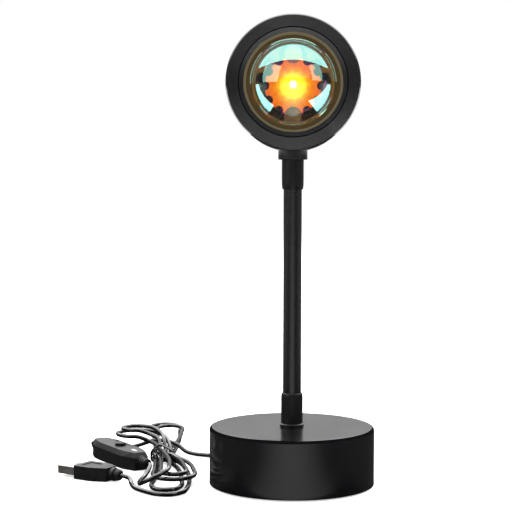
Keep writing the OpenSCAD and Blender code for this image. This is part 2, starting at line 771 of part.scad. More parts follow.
lead_points = [outlet_end, [0, 61, 8.4], [-2.5, 67, 6], [-9, 71.5, 2.6], [-18, 71.5, cord_r],
    [-30, 69.5, cord_r], [-40, 68.5, cord_r], [-48.8, 68.7, cord_r], [-57, 71.9, cord_r],
    [-63, 74, 2.2], [-69, 77, 6], [-76, 80, 7.6], [-84, 83, 7.2], [-92, 86.5, 4],
    [-98, 89.5, 2], [-104, 91.6, cord_r], [-110, 92.9, cord_r], [-115.3, 93.1, 1.6],
    [-118.3, 92.3, 2.3], [-120.5, 90.1, 3.3], [-121.3, 87.1, 4.4],
    switch_point(switch_back_x - 1.5), switch_point(switch_back_x)];
switch_run_points = [place([1, 2]) - run_gap, place([1, 2]) - run_straight, [-77, 49, 8.9],
    [-74.2, 40, 9.1], [-71, 28, 8.8], [-68.6, 16, 8.8], [-67.4, 4, 9], [-67.5, -9.5, 8.9],
    [-69, -13.8, 8.4], [-72.7, -16.6, 6.8], [-77.3, -16.6, 4.5], [-81.1, -13.9, 2.4],
    [-82.5, -9.5, cord_r], [-82.6, 1, cord_r], [-81.2, 10, 1.8], [-80.1, 16, 3.6],
    switch_point(switch_front_x + 2.5), switch_point(switch_front_x)];
plug_run_points = [usb_end, [-89, -3.6, 3], [-87, -10, 1.6], [-84, -19.6, cord_r],
    [-77, -29, cord_r], [-70.5, -34.6, cord_r], [-63.3, -35.4, cord_r], [-58, -30.5, cord_r],
    [-56, -20, cord_r], [-55.8, -6, cord_r], [-57, 10, cord_r], [-60, 28, cord_r],
    [-63.6, 41.5, 1.5], [-67.7, 48.6, 1.9], place([3, 0]) - run_straight, place([3, 0]) - run_gap];

// A route that lies on the surface and doesn't dip below it
function above_floor(p) = [for (q = p) [q[0], q[1], max(q[2], cord_r)]];

// Least distance between two points of a route that lie more than the given number of
// points apart along it
function apart(p, skip) = min([for (i = [0 : len(p) - 1]) for (j = [i + skip : 1 : len(p) - 1])
    norm(p[i] - p[j])]);

module cord_lead() {
    color("#161617") route_tube(above_floor(smooth_route(lead_points, 2)), cord_r, 8);
}

module cord_hank() {
    color("#161617") route_tube(hank_points, cord_r, 6);
}

module cord_plug_run() {
    color("#161617") route_tube(above_floor(smooth_route(plug_run_points, 2)), cord_r, 8);
}

module cord_switch_run() {
    color("#161617") route_tube(above_floor(smooth_route(switch_run_points, 2)), cord_r, 8);
}

// Band round the bundle, flat enough underneath to lie on the surface
module cord_tie() {
    inner_w = 4 * cord_step + 0.4;
    inner_h = 3 * cord_step;
    translate([tie_at[0], tie_at[1] - tie_l / 2, 0.05]) color("#1d1d1f") difference() {
        translate([-inner_w / 2 - tie_wall, 0, 0])
            cube([inner_w + 2 * tie_wall, tie_l, inner_h + 2 * tie_wall]);
        translate([-inner_w / 2, -1, tie_wall]) cube([inner_w, tie_l + 2, inner_h]);
    }
}

// ---------------------------------------------------------------- inline switch

module at_switch() {
    translate([switch_at[0], switch_at[1], 0]) rotate(switch_turn) children();
}

// Boat-shaped outline: full width in the middle, narrower at both ends
function switch_outline(inset) = let (l = switch_l / 2 - inset, w = switch_w / 2 - inset,
    e = w * 0.62, m = l * 0.66) [
    [-l, -e * 0.8], [-l + 1.5, -e], [-m, -w + 0.5], [-m * 0.7, -w], [m * 0.7, -w], [m, -w + 0.5],
    [l - 1.5, -e], [l, -e * 0.8], [l, e * 0.8], [l - 1.5, e], [m, w - 0.5], [m * 0.7, w],
    [-m * 0.7, w], [-m, w - 0.5], [-l + 1.5, e], [-l, e * 0.8]];

module switch_lower() {
    color("#262629") at_switch() difference() {
        union() {
            linear_extrude(switch_split) polygon(switch_outline(0));
        }
        translate([0, 0, switch_wall]) linear_extrude(switch_split) polygon(switch_outline(switch_wall));
        relief_openings();
    }
    color("#262629") at_switch() switch_posts() translate([0, 0, switch_wall])
        cylinder(r = 1.4, h = 2.2);
}

module switch_posts() {
    for (x = [-14, 14]) translate([x, 0, 0]) children();
}

module relief_openings() {
    for (x = [-1, 1]) translate([x * (switch_l / 2 - 3), 0, switch_axis_z])
        rotate([0, x * 90, 0]) cylinder(r = 2.4 + slip, h = 6);
}

module switch_upper() {
    crown = switch_h - switch_split;
    color("#3a3a3d") at_switch() difference() {
        hull() {
            translate([0, 0, switch_split]) linear_extrude(crown * 0.45) polygon(switch_outline(0));
            translate([0, 0, switch_split]) linear_extrude(crown) polygon(switch_outline(1.6));
        }
        translate([0, 0, switch_split - 1]) linear_extrude(crown + 1 - switch_wall)
            polygon(switch_outline(switch_wall + 1));
        translate([button_x, 0, switch_split]) cylinder(r = button_d / 2 + 0.3, h = crown + 2);
        translate([window_x, 0, switch_split]) window_shape(0.1, crown + 2);
        relief_openings();
    }
}

module window_shape(extra, h) {
    translate([-2, -0.9 - extra, 0]) cube([4, 1.8 + 2 * extra, h]);
    for (x = [-2, 2]) translate([x, 0, 0]) cylinder(r = 0.9 + extra, h = h, $fn = 24);
}

roof_z = switch_h - switch_wall;

module switch_window() {
    color("#eceae4") at_switch() translate([window_x, 0, 0]) {
        translate([0, 0, roof_z]) window_shape(0, switch_wall + 0.1);
        translate([-3.2, -1.6, roof_z - 0.8]) cube([6.4, 3.2, 0.8]);
    }
}

module switch_button() {
    color("#2c2c2e") at_switch() translate([button_x, 0, 0]) {
        translate([0, 0, roof_z - button_flange - 0.3]) cylinder(r = button_d / 2 + 1, h = button_flange);
        translate([0, 0, roof_z - 0.5]) cylinder(r = button_d / 2, h = switch_wall + 0.5 + button_proud - 0.5);
        translate([0, 0, switch_h + button_proud - 0.5])
            cylinder(r1 = button_d / 2, r2 = button_d / 2 - 0.5, h = 0.5);
    }
}

board_top = switch_wall + 2.2 + 1;

module switch_board() {
    color("#2f6b3a") at_switch() difference() {
        translate([-20, -4, board_top - 1]) cube([40, 8, 1]);
        translate([button_x, 0, board_top - 2]) cylinder(r = 1, h = 3, $fn = 24);
    }
}

// Return spring between the board and the button's flange
module switch_spring() {
    color("#c8c8c8") at_switch() translate([button_x, 0, board_top + 0.05])
        tube(2.4, 1.9, roof_z - button_flange - 0.3 - board_top - 0.1, $fn = 48);
}

// Ribbed sleeve round the cord where it leaves the switch, along +Z from its flange
module ribbed_relief(length, r0, r1, ribs) {
    step = length / ribs;
    difference() {
        rotate_extrude($fn = 48) polygon(concat([[0, -3.9], [2.8, -3.9], [2.8, -2.9], [2.4, -2.9],
            [2.4, 0]], [for (k = [0 : ribs - 1]) let (r = mix(r0, r1, k / ribs)) each [
            [r, k * step + 0.01], [r, (k + 0.62) * step], [r - 0.6, (k + 0.7) * step],
            [r - 0.6, (k + 0.99) * step]]], [[r1 - 0.4, length], [0, length]]));
        translate([0, 0, -5]) cylinder(r = cord_r + slip, h = length - 2 + 5);
    }
}

module switch_reliefs() {
    color("#1a1a1c") at_switch() translate([0, 0, switch_axis_z]) {
        translate([switch_l / 2, 0, 0]) rotate([0, 90, 0]) ribbed_relief(relief_l, 3.4, 2.5, 4);
        translate([-switch_l / 2, 0, 0]) rotate([0, -90, 0]) ribbed_relief(relief_back_l, 3.4, 2.5, 3);
    }
}

// ---------------------------------------------------------------- USB plug

// Local +X points out of the plug, from the end of its relief
module at_usb() {
    translate([usb_at[0], usb_at[1], usb_h / 2]) rotate(usb_turn) children();
}

usb_mould_x = usb_relief_l;
usb_face_x = usb_mould_x + usb_mould_l;

module usb_overmould() {
    w = usb_w / 2;
    tail = usb_mould_l * 0.3;
    h = usb_h / 2;
    color("#242426") at_usb() difference() {
        union() {
            difference() {
                translate([0, 0, -h]) linear_extrude(usb_h) polygon([
                    [usb_mould_x, -w * 0.55], [usb_mould_x + tail, -w * 0.9],
                    [usb_mould_x + tail * 1.5, -w], [usb_face_x - 1, -w], [usb_face_x, -w + 1],
                    [usb_face_x, w - 1], [usb_face_x - 1, w], [usb_mould_x + tail * 1.5, w],
                    [usb_mould_x + tail, w * 0.9], [usb_mould_x, w * 0.55]]);
                translate([usb_mould_x + tail * 1.4, -usb_w * 0.3, h - 0.4])
                    cube([usb_mould_l * 0.42, usb_w * 0.6, 1]);
            }
            rotate([0, 90, 0]) rotate_extrude($fn = 48) polygon([[0, 0], [2.3, 0], [2.9, 0.6],
                [3.4, 2.4], [2.7, 2.9], [2.7, 3.5], [3.7, 3.9], [3.7, 5.7], [2.9, 6.2],
                [2.9, usb_relief_l + 0.5], [0, usb_relief_l + 0.5]]);
        }
        translate([usb_face_x - 8, -usb_shell_w / 2 - 0.05, -usb_shell_h / 2 - 0.05])
            cube([9, usb_shell_w + 0.1, usb_shell_h + 0.1]);
    }
}

module usb_shell() {
    t = usb_sheet;
    color("#c9c9c6") at_usb() difference() {
        translate([usb_face_x - 8, -usb_shell_w / 2, -usb_shell_h / 2])
            cube([usb_shell_l + 8, usb_shell_w, usb_shell_h]);
        translate([usb_face_x - 9, -usb_shell_w / 2 + t, -usb_shell_h / 2 + t])
            cube([usb_shell_l + 10, usb_shell_w - 2 * t, usb_shell_h - 2 * t]);
        for (y = [-1, 1]) translate([usb_face_x + 4.4, y * 3 - 1.1, -usb_shell_h])
            cube([2.2, 2.2, 2 * usb_shell_h]);
    }
}

module usb_tongue() {
    color("#f0f0ee") at_usb() translate([usb_face_x - 8, -usb_shell_w / 2 + usb_sheet + 0.1,
        usb_shell_h / 2 - usb_sheet - 1.95])
        cube([usb_shell_l + 7, usb_shell_w - 2 * usb_sheet - 0.2, 1.85]);
}

// ---------------------------------------------------------------- parts

base_cover();
bottom_plate();
foot_pad();
counterweight();
base_screws();
cable_grommet();
cable_stop();
base_cable();
base_nipple();
base_washer();
base_nut();
lower_sleeve();
neck_core_bottom();
neck_jacket();
neck_wire();
for (i = [1 : joints - 1])
    neck_link(i);
neck_core_top();
upper_sleeve();
collar();
head_nipple();
saddle_washer();
head_nut();
head_housing();
front_bezel();
lens();
lens_gasket();
colour_filter();
lens_barrel();
led_board();
led_emitter();
led_screws();
heat_sink();
driver_board();
head_cable();
rear_cover();
rear_screws();
cord_lead();
cord_hank();
cord_tie();
cord_plug_run();
cord_switch_run();
switch_lower();
switch_upper();
switch_button();
switch_spring();
switch_board();
switch_window();
switch_reliefs();
usb_shell();
usb_overmould();
usb_tongue();

union() {
    hank = apart(smooth_route(hank_points, 4), 16) - cord_d;
    echo(least_gap_of_hank_to_itself = hank);
}
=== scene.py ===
import math
import bmesh
import bpy
from mathutils import Matrix, Vector


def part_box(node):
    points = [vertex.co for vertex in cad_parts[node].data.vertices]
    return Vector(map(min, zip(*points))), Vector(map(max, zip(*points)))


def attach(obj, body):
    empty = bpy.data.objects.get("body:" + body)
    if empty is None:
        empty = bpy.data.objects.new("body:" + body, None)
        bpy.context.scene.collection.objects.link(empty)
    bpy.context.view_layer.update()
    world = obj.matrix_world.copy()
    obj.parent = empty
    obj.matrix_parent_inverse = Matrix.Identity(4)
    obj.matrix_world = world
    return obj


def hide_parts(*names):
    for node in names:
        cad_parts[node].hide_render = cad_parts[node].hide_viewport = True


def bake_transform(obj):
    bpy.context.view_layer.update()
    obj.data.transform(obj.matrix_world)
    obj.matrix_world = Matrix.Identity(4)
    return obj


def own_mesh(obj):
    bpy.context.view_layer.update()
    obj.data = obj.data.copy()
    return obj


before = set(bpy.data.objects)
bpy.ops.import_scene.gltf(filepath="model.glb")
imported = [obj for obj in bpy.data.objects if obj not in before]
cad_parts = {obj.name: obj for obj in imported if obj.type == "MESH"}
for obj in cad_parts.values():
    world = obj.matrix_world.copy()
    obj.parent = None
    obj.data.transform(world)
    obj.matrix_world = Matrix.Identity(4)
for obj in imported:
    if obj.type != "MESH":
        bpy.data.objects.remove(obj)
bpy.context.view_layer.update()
print("lamp: frame loaded with", len(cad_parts), "nodes")


def hexColour(code):  # sRGB hex to the linear values that the shaders take
    channels = [int(code[i:i + 2], 16) / 255 for i in (1, 3, 5)]
    return tuple(c / 12.92 if c <= 0.04045 else ((c + 0.055) / 1.055) ** 2.4
                 for c in channels) + (1.0,)


def addNode(tree, kind, settings=None, links=None):  # one node, its settings and what feeds it
    node = tree.nodes.new(kind)
    for name, value in (settings or {}).items():
        if isinstance(name, str) and hasattr(node, name):
            setattr(node, name, value)
        else:
            node.inputs[name].default_value = value
    for name, source in (links or {}).items():  # a node stands for its first output
        tree.links.new(source.outputs[0] if hasattr(source, "outputs") else source,
                       node.inputs[name])
    return node


# what the surfaces have in common: how their grain and their patches are built up
noiseLook = {"grainDetail": 3.0, "grainRough": 0.6, "grainDepth": 0.25,
             "patchDetail": 4.0, "patchRough": 0.55, "patchFrom": 0.3, "patchTo": 0.7}


def addSurface(tree, shader, look):  # fine grain, uneven gloss and a slight change of tone
    place = addNode(tree, "ShaderNodeTexCoord")
    grain = addNode(tree, "ShaderNodeTexNoise", {
        "Scale": 1000 / look["grainMm"], "Detail": noiseLook["grainDetail"],
        "Roughness": noiseLook["grainRough"]}, {"Vector": place.outputs["Object"]})
    bump = addNode(tree, "ShaderNodeBump", {
        "Strength": look["grainStrength"],
        "Distance": look["grainMm"] * noiseLook["grainDepth"] / 1000}, {"Height": grain})
    tree.links.new(bump.outputs["Normal"], shader.inputs["Normal"])
    patch = addNode(tree, "ShaderNodeTexNoise", {
        "Scale": 1000 / look["patchMm"], "Detail": noiseLook["patchDetail"],
        "Roughness": noiseLook["patchRough"]}, {"Vector": place.outputs["Object"]})
    gloss = addNode(tree, "ShaderNodeMapRange", {
        "From Min": noiseLook["patchFrom"], "From Max": noiseLook["patchTo"],
        "To Min": look["rough"][0], "To Max": look["rough"][1]}, {"Value": patch})
    tree.links.new(gloss.outputs["Result"], shader.inputs["Roughness"])
    tone = addNode(tree, "ShaderNodeMix", {
        "data_type": "RGBA", "A": hexColour(look["tones"][0]),
        "B": hexColour(look["tones"][1])}, {"Factor": patch})
    tree.links.new(tone.outputs["Result"], shader.inputs["Base Color"])


def newMaterial(name, surface, look=None):
    material = bpy.data.materials.new(name)
    material.use_nodes = True
    tree = material.node_tree
    tree.nodes.clear()
    shader = addNode(tree, "ShaderNodeBsdfPrincipled", surface)
    addNode(tree, "ShaderNodeOutputMaterial", links={"Surface": shader})
    if look:
        addSurface(tree, shader, look)
    return material


def addPiece(name, data, material=None):
    if material:
        data.materials.append(material)
    piece = bpy.data.objects.new(name, data)
    bpy.context.collection.objects.link(piece)
    return piece


def meshFrom(name, bm):
    mesh = bpy.data.meshes.new(name)
    bm.to_mesh(mesh)
    bm.free()
    return mesh


def pullOut(bm, edges, move):  # draws a rim out to a wall, and gives the new rim
    made = bmesh.ops.extrude_edge_only(bm, edges=edges)["geom"]
    bmesh.ops.translate(bm, vec=move, verts=[g for g in made if isinstance(g, bmesh.types.BMVert)])
    return [g for g in made if isinstance(g, bmesh.types.BMEdge)]


# Camera: a 100 mm lens about 77 cm away, a little above the middle of the lamp
cameraView = {"distance": 0.773, "height": 0.170, "lensMm": 100.27, "sensorMm": 36,
              "pitchDeg": 3.365, "yawDeg": 1.467, "rollDeg": 0.142}
cameraData = bpy.data.cameras.new("photoCamera")
cameraData.lens = cameraView["lensMm"]
cameraData.sensor_width = cameraView["sensorMm"]
cameraData.dof.use_dof = False
camera = addPiece("photoCamera", cameraData)
camera.matrix_world = (
    Matrix.Translation((0, -cameraView["distance"], cameraView["height"]))
    @ Matrix.Rotation(math.radians(cameraView["yawDeg"]), 4, "Z")
    @ Matrix.Rotation(math.radians(90 - cameraView["pitchDeg"]), 4, "X")
    @ Matrix.Rotation(math.radians(cameraView["rollDeg"]), 4, "Z"))
bpy.context.scene.camera = camera
print("lamp: camera set")


# Cords: the routes of the CAD solids, in millimetres, made metres at the end
cord = {"diameter": 2.5, "step": 3.2, "tie": (-76, 56), "tieFloor": 0.9, "tieColumns": 4,
        "tieLength": 4, "straightPast": 0.6, "switch": (-101, 54), "switchTurn": -57,
        "switchAxis": 5, "switchLength": 56, "reliefFront": 8, "reliefBack": 6,
        "switchLead": (1.5, 2.5), "plug": (-93.5, -1), "plugHeight": 7.5,
        "outlet": (0, 55, 9), "roundSteps": 5, "curveSteps": 5, "lengthSteps": 12}
cordR = cord["diameter"] / 2
# a cord lies straight until it is out of the tie
straight = Vector((0, cord["tieLength"] / 2 + cord["straightPast"], 0))


def tiePlace(column, row):
    across = (column - (cord["tieColumns"] - 1) / 2) * cord["step"]
    return Vector((cord["tie"][0] + across, cord["tie"][1],
                   cord["tieFloor"] + cordR + row * cord["step"]))


# a lobe: leaves, comes back to, bend of its middle line, middle of its end, half width,
# height, the share of that height at its first side point, and its sides
longSides = [(0.2, 0.22), (0.48, 0.7), (0.8, 0.96)]
shortSides = [(0.25, 0.05), (0.5, 0.45), (0.82, 0.9)]
lobeHeights = {"floor": cordR, "second": cordR + cord["step"],
               "nearTop": cordR + cord["step"] + 1.8, "farThird": 12.8,
               "farTop": 12.8 + cord["step"]}
farLobes = [
    ((3, 0), (0, 0), (-1, 60), (-8, 109), 8.8, lobeHeights["floor"], 0.85, longSides),
    ((2, 0), (0, 1), (1, 45), (-3, 86), 7.6, lobeHeights["second"], 0.85, longSides),
    ((3, 1), (1, 1), (-1, 16), (-18, 20), 10.8, lobeHeights["farThird"], 0.35, shortSides),
    ((2, 1), (1, 2), (-1, 16), (-18, 20), 7.6, lobeHeights["farTop"], 0.5, shortSides)]
nearLobes = [
    ((0, 0), (2, 0), (8, -24), (8.5, -73), 7.6, lobeHeights["floor"], 0.85, longSides),
    ((0, 1), (3, 1), (10, -24), (11.5, -58), 11.2, lobeHeights["second"], 0.85, longSides),
    ((1, 1), (2, 1), (8, -25), (11.5, -58), 6.8, lobeHeights["nearTop"], 0.85, longSides)]


def lobePoints(lobe):
    leave, back, bend, end, width, height, climb, sides = lobe
    bend, end = Vector(bend), Vector(end)
    turn = 1 if end.y * (leave[0] - back[0]) > 0 else -1
    tie = Vector(cord["tie"])

    def across(t):  # the middle line's direction there, and the one at a right angle to it
        way = (2 * (1 - 2 * t) * bend + 2 * t * end).normalized()
        return way, Vector((way.y, -way.x))

    def side(start, i, offset):
        share, spread = sides[i]
        middle = 2 * share * (1 - share) * bend + share * share * end
        slotX = Vector((start.x - tie.x, 0))
        flat = (middle + slotX).lerp(middle + across(share)[1] * offset, spread)
        rise = (climb, (1 + climb) / 2, 1)[i]
        return Vector((tie.x + flat.x, tie.y + flat.y, start.z + (height - start.z) * rise))

    way, over = across(1)
    start, stop = tiePlace(*leave), tiePlace(*back)
    out = straight if end.y > 0 else -straight
    points = [start, start + out] + [side(start, i, width * turn) for i in range(3)]
    for degrees in range(90, -91, -45):  # the round end, in four steps
        a = math.radians(degrees)
        flat = end + way * width * math.cos(a) + over * width * turn * math.sin(a)
        points.append(Vector((tie.x + flat.x, tie.y + flat.y, height)))
    return points + [side(stop, i, -width * turn) for i in (2, 1, 0)] + [stop + out]


def switchPoint(x):
    a = math.radians(cord["switchTurn"])
    return Vector((cord["switch"][0] + x * math.cos(a), cord["switch"][1] + x * math.sin(a),
                   cord["switchAxis"]))


hankRoute = []
for i, lobe in enumerate(farLobes):
    hankRoute += lobePoints(lobe)
    hankRoute += lobePoints(nearLobes[i]) if i < len(nearLobes) else [tiePlace(*lobe[1])]
switchBack = -cord["switchLength"] / 2 - cord["reliefBack"]
switchFront = cord["switchLength"] / 2 + cord["reliefFront"]
leadRoute = [Vector(p) for p in (
    cord["outlet"], (0, 61, 8.4), (-2.5, 67, 6), (-9, 71.5, 2.6), (-18, 71.5, cordR),
    (-30, 69.5, cordR), (-40, 68.5, cordR), (-48.8, 68.7, cordR), (-57, 71.9, cordR),
    (-63, 74, 2.2), (-69, 77, 6), (-76, 80, 7.6), (-84, 83, 7.2), (-92, 86.5, 4),
    (-98, 89.5, 2), (-104, 91.6, cordR), (-110, 92.9, cordR), (-115.3, 93.1, 1.6),
    (-118.3, 92.3, 2.3), (-120.5, 90.1, 3.3), (-121.3, 87.1, 4.4),
    switchPoint(switchBack - cord["switchLead"][0]), switchPoint(switchBack))]
switchRoute = [Vector(p) for p in (
    tiePlace(1, 2), tiePlace(1, 2) - straight, (-77, 49, 8.9), (-74.2, 40, 9.1),
    (-71, 28, 8.8), (-68.6, 16, 8.8), (-67.4, 4, 9), (-67.5, -9.5, 8.9), (-69, -13.8, 8.4),
    (-72.7, -16.6, 6.8), (-77.3, -16.6, 4.5), (-81.1, -13.9, 2.4), (-82.5, -9.5, cordR),
    (-82.6, 1, cordR), (-81.2, 10, 1.8), (-80.1, 16, 3.6),
    switchPoint(switchFront + cord["switchLead"][1]), switchPoint(switchFront))]
plugRoute = [Vector(p) for p in (
    (cord["plug"][0], cord["plug"][1], cord["plugHeight"] / 2), (-89, -3.6, 3),
    (-87, -10, 1.6), (-84, -19.6, cordR), (-77, -29, cordR), (-70.5, -34.6, cordR),
    (-63.3, -35.4, cordR), (-58, -30.5, cordR), (-56, -20, cordR), (-55.8, -6, cordR),
    (-57, 10, cordR), (-60, 28, cordR), (-63.6, 41.5, 1.5), (-67.7, 48.6, 1.9),
    tiePlace(3, 0) - straight, tiePlace(3, 0))]


def routeSlope(before, here, after):
    h, k = (here - before).length, (after - here).length
    if h == 0 or k == 0:
        return (after - before).normalized()
    return ((here - before) * k / h + (after - here) * h / k) / (h + k)


def cordCurve(name, route, material):
    curve = bpy.data.curves.new(name, "CURVE")
    curve.dimensions = "3D"
    curve.bevel_depth = cordR / 1000
    curve.bevel_resolution = cord["roundSteps"]
    curve.resolution_u = cord["curveSteps"]
    curve.use_fill_caps = True
    line = curve.splines.new("BEZIER")
    line.bezier_points.add(len(route) - 1)
    for i, point in enumerate(line.bezier_points):
        here = route[i]
        before, after = route[max(i - 1, 0)], route[min(i + 1, len(route) - 1)]
        slope = routeSlope(before, here, after)
        point.handle_left_type = point.handle_right_type = "FREE"
        point.co = here / 1000
        left = here - slope * (here - before).length / 3
        right = here + slope * (after - here).length / 3
        left.z, right.z = max(left.z, cordR), max(right.z, cordR)  # never under the floor
        point.handle_left, point.handle_right = left / 1000, right / 1000
    return addPiece(name, curve, material)


def routeLength(route):
    total = 0.0
    for i in range(len(route) - 1):
        a, b = route[i], route[i + 1]
        before, after = route[max(i - 1, 0)], route[min(i + 2, len(route) - 1)]
        h = (b - a).length
        slopeA, slopeB = routeSlope(before, a, b) * h, routeSlope(a, b, after) * h
        last = a
        for step in range(1, cord["lengthSteps"] + 1):
            t = step / cord["lengthSteps"]
            u = t * t * (3 - 2 * t)
            here = a.lerp(b, u) + slopeA * t * (1 - t) ** 2 - slopeB * t * t * (1 - t)
            total += (here - last).length
            last = here
    return total / 1000


# soft PVC cord jacket, extruded: an even satin black with a faint drag from the die
pvcCord = newMaterial("pvcCordJacket", {"IOR": 1.54, "Specular IOR Level": 0.8}, {
    "grainMm": 0.9, "grainStrength": 0.05, "patchMm": 14, "rough": (0.1, 0.16),
    "tones": ("#09090a", "#0d0d0e")})

# Tie: a soft strap drawn tight around the cords that pass it
strap = {"length": 5.0, "wall": 0.7, "gap": 0.1, "stepsPerCord": 16,
         "passed": [(0, 0), (2, 0), (3, 0), (0, 1), (1, 1), (2, 1), (3, 1), (1, 2)]}


def hullAround(points):  # the outline of a set of points, in order
    outline = []
    for run in (sorted(points), sorted(points, reverse=True)):
        half = []
        for x, z in run:
            while len(half) > 1 and ((half[-1][0] - half[-2][0]) * (z - half[-2][1])
                                     <= (half[-1][1] - half[-2][1]) * (x - half[-2][0])):
                half.pop()
            half.append((x, z))
        outline += half[:-1]
    return outline


reach = cordR + strap["gap"]
rimPoints = []
for passed in strap["passed"]:
    middle = tiePlace(*passed)
    for i in range(strap["stepsPerCord"]):
        a = 2 * math.pi * i / strap["stepsPerCord"]
        rimPoints.append((round(middle.x + reach * math.cos(a), 4),
                          round(middle.z + reach * math.sin(a), 4)))
strapFront = cord["tie"][1] - strap["length"] / 2
bm = bmesh.new()
rim = [bm.verts.new((x / 1000, strapFront / 1000, z / 1000)) for x, z in hullAround(rimPoints)]
pullOut(bm, [bm.edges.new((rim[i - 1], rim[i])) for i in range(len(rim))],
        (0, strap["length"] / 1000, 0))
for face in bm.faces:
    face.smooth = True
bmesh.ops.recalc_face_normals(bm, faces=bm.faces)
bmesh.ops.solidify(bm, geom=bm.faces[:] + bm.edges[:] + bm.verts[:],
                   thickness=-strap["wall"] / 1000)
bmesh.ops.reverse_faces(bm, faces=bm.faces)  # a wall that grows outwards comes out reversed
hankStrap = addPiece("hankStrap", meshFrom("hankStrap", bm), pvcCord)
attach(hankStrap, "base")
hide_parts("cord_tie")
print("lamp: strap around", len(strap["passed"]), "cords")

leadPiece = cordCurve("leadCord", leadRoute, pvcCord)
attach(leadPiece, "base")
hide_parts("cord_lead")
# the rest is one cord: out of the switch, into the hank and out again to the plug
longRoute = switchRoute[::-1] + hankRoute[::-1][1:] + plugRoute[::-1][1:]
longPiece = cordCurve("hankedCord", longRoute, pvcCord)
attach(longPiece, "base")
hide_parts("cord_hank", "cord_switch_run", "cord_plug_run")
print("lamp: cords laid,", round(routeLength(leadRoute), 3), "m and",
      round(routeLength(longRoute), 3), "m")


# Neck: the jacket and the wire in it are made in eight sections, one for each hinge where the neck
# bends
neck = {"bottom": 50.0, "length": 110.7, "joints": 8, "radius": 5.0, "wall": 0.5, "grip": 8.5,
        "segments": 48, "loops": 12, "rimSlope": 0.9}


def neckSection(name, bottom, top, radius, wall, material):
    bm = bmesh.new()
    bmesh.ops.create_circle(bm, segments=neck["segments"], radius=radius / 1000,
                            matrix=Matrix.Translation((0, 0, bottom / 1000)))
    edges = bm.edges[:]
    for _ in range(neck["loops"]):
        edges = pullOut(bm, edges, (0, 0, (top - bottom) / neck["loops"] / 1000))
    for face in bm.faces:  # outwards, before the wall gets its thickness
        middle = face.calc_center_median()
        if face.normal.dot(Vector((middle.x, middle.y, 0))) < 0:
            face.normal_flip()
        face.smooth = True
    if wall:
        bmesh.ops.solidify(bm, geom=bm.faces[:] + bm.edges[:] + bm.verts[:],
                           thickness=wall / 1000)
        bm.normal_update()
        for face in bm.faces:  # flat rims, so that no seam shows where two sections meet
            if abs(face.normal.z) > neck["rimSlope"]:
                face.smooth = False
                for edge in face.edges:
                    edge.smooth = False
    return addPiece(name, meshFrom(name, bm), material)


# silicone-feel rubber jacket, extruded over the wound core: matt with a soft sheen
neckRubber = newMaterial("neckRubberJacket", {"IOR": 1.5, "Specular IOR Level": 0.9}, {
    "grainMm": 0.8, "grainStrength": 0.1, "patchMm": 12, "rough": (0.23, 0.27),
    "tones": ("#0e0e10", "#131315")})

neckKinds = [
    {"name": "neckJacket", "stands": "neck_jacket", "radius": neck["radius"],
     "wall": neck["wall"], "material": neckRubber, "slot": "black_rubber"},
    {"name": "neckWire", "stands": "neck_wire", "radius": cordR, "wall": 0,
     "material": pvcCord, "slot": "cord_jacket"}]
neckPieces = []
pitch = neck["length"] / neck["joints"]
for i in range(neck["joints"]):
    hingeFrom, hingeTo = neck["bottom"] + i * pitch, neck["bottom"] + (i + 1) * pitch
    bottom = hingeFrom - neck["grip"] if i == 0 else hingeFrom
    top = hingeTo + neck["grip"] if i == neck["joints"] - 1 else hingeTo
    for kind in neckKinds:
        piece = neckSection("%s_%d" % (kind["name"], i + 1), bottom, top, kind["radius"],
                            kind["wall"], kind["material"])
        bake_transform(piece)
        neckPieces.append((piece, kind["stands"]))
for piece, node in neckPieces:
    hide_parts(node)


# Finishes of the CAD pieces
finishes = {}
lampAxisMm = 216.5  # the height of the head's middle over the floor


def fromAxis(tree, place):  # a place seen along the head's axis, and how far out it is
    across = addNode(tree, "ShaderNodeMapping", {
        "Location": (0, 0, -lampAxisMm / 1000), "Scale": (1, 0, 1)},
        {"Vector": place.outputs["Object"]})
    distance = addNode(tree, "ShaderNodeVectorMath", {"operation": "LENGTH"}, {0: across})
    return across, distance.outputs["Value"]


# aluminium and steel shells with a fine powder coat: satin black
finishes["powderCoat"] = newMaterial("satinPowderCoat", {"IOR": 1.45}, {
    "grainMm": 0.7, "grainStrength": 0.05, "patchMm": 18, "rough": (0.34, 0.4),
    "tones": ("#0e0e10", "#121214")})

# the base's coat is baked on flat and glossier, and runs thin and matt over its edge
finishes["baseCoat"] = newMaterial("glossyPowderCoat", {"IOR": 1.45}, {
    "grainMm": 0.7, "grainStrength": 0.02, "patchMm": 18, "rough": (0.16, 0.2),
    "tones": ("#0c0c0e", "#101012")})
baseEdge = {"from": 0.12, "to": 0.985, "gloss": 0.78}  # told by how far a face looks up


def dullEdge(tree):
    facing = addNode(tree, "ShaderNodeSeparateXYZ", links={
        "Vector": tree.nodes["Texture Coordinate"].outputs["Normal"]})
    onEdge = addNode(tree, "ShaderNodeMath", {
        "operation": "COMPARE", 1: (baseEdge["from"] + baseEdge["to"]) / 2,
        2: (baseEdge["to"] - baseEdge["from"]) / 2}, {0: facing.outputs["Z"]})
    gloss = addNode(tree, "ShaderNodeMath", {
        "operation": "MULTIPLY_ADD", 1: -baseEdge["gloss"], 2: baseEdge["gloss"]}, {0: onEdge})
    tree.links.new(gloss.outputs["Value"],
                   tree.nodes["Principled BSDF"].inputs["Specular IOR Level"])


dullEdge(finishes["baseCoat"].node_tree)

# the bezel's face is turned: fine circular marks stretch every highlight outwards
finishes["turnedBezel"] = newMaterial("turnedBlackBezel", {
    "IOR": 1.74, "Anisotropic": 0.9, "Anisotropic Rotation": 0.25}, {
    "grainMm": 0.6, "grainStrength": 0.03, "patchMm": 16, "rough": (0.21, 0.24),
    "tones": ("#0c0c0e", "#101012")})
groove = {"radiusMm": 28.28, "halfMm": 0.3}  # a ring along the groove painted dark, with no shine: partly painted shade in the recess, partly its dirt
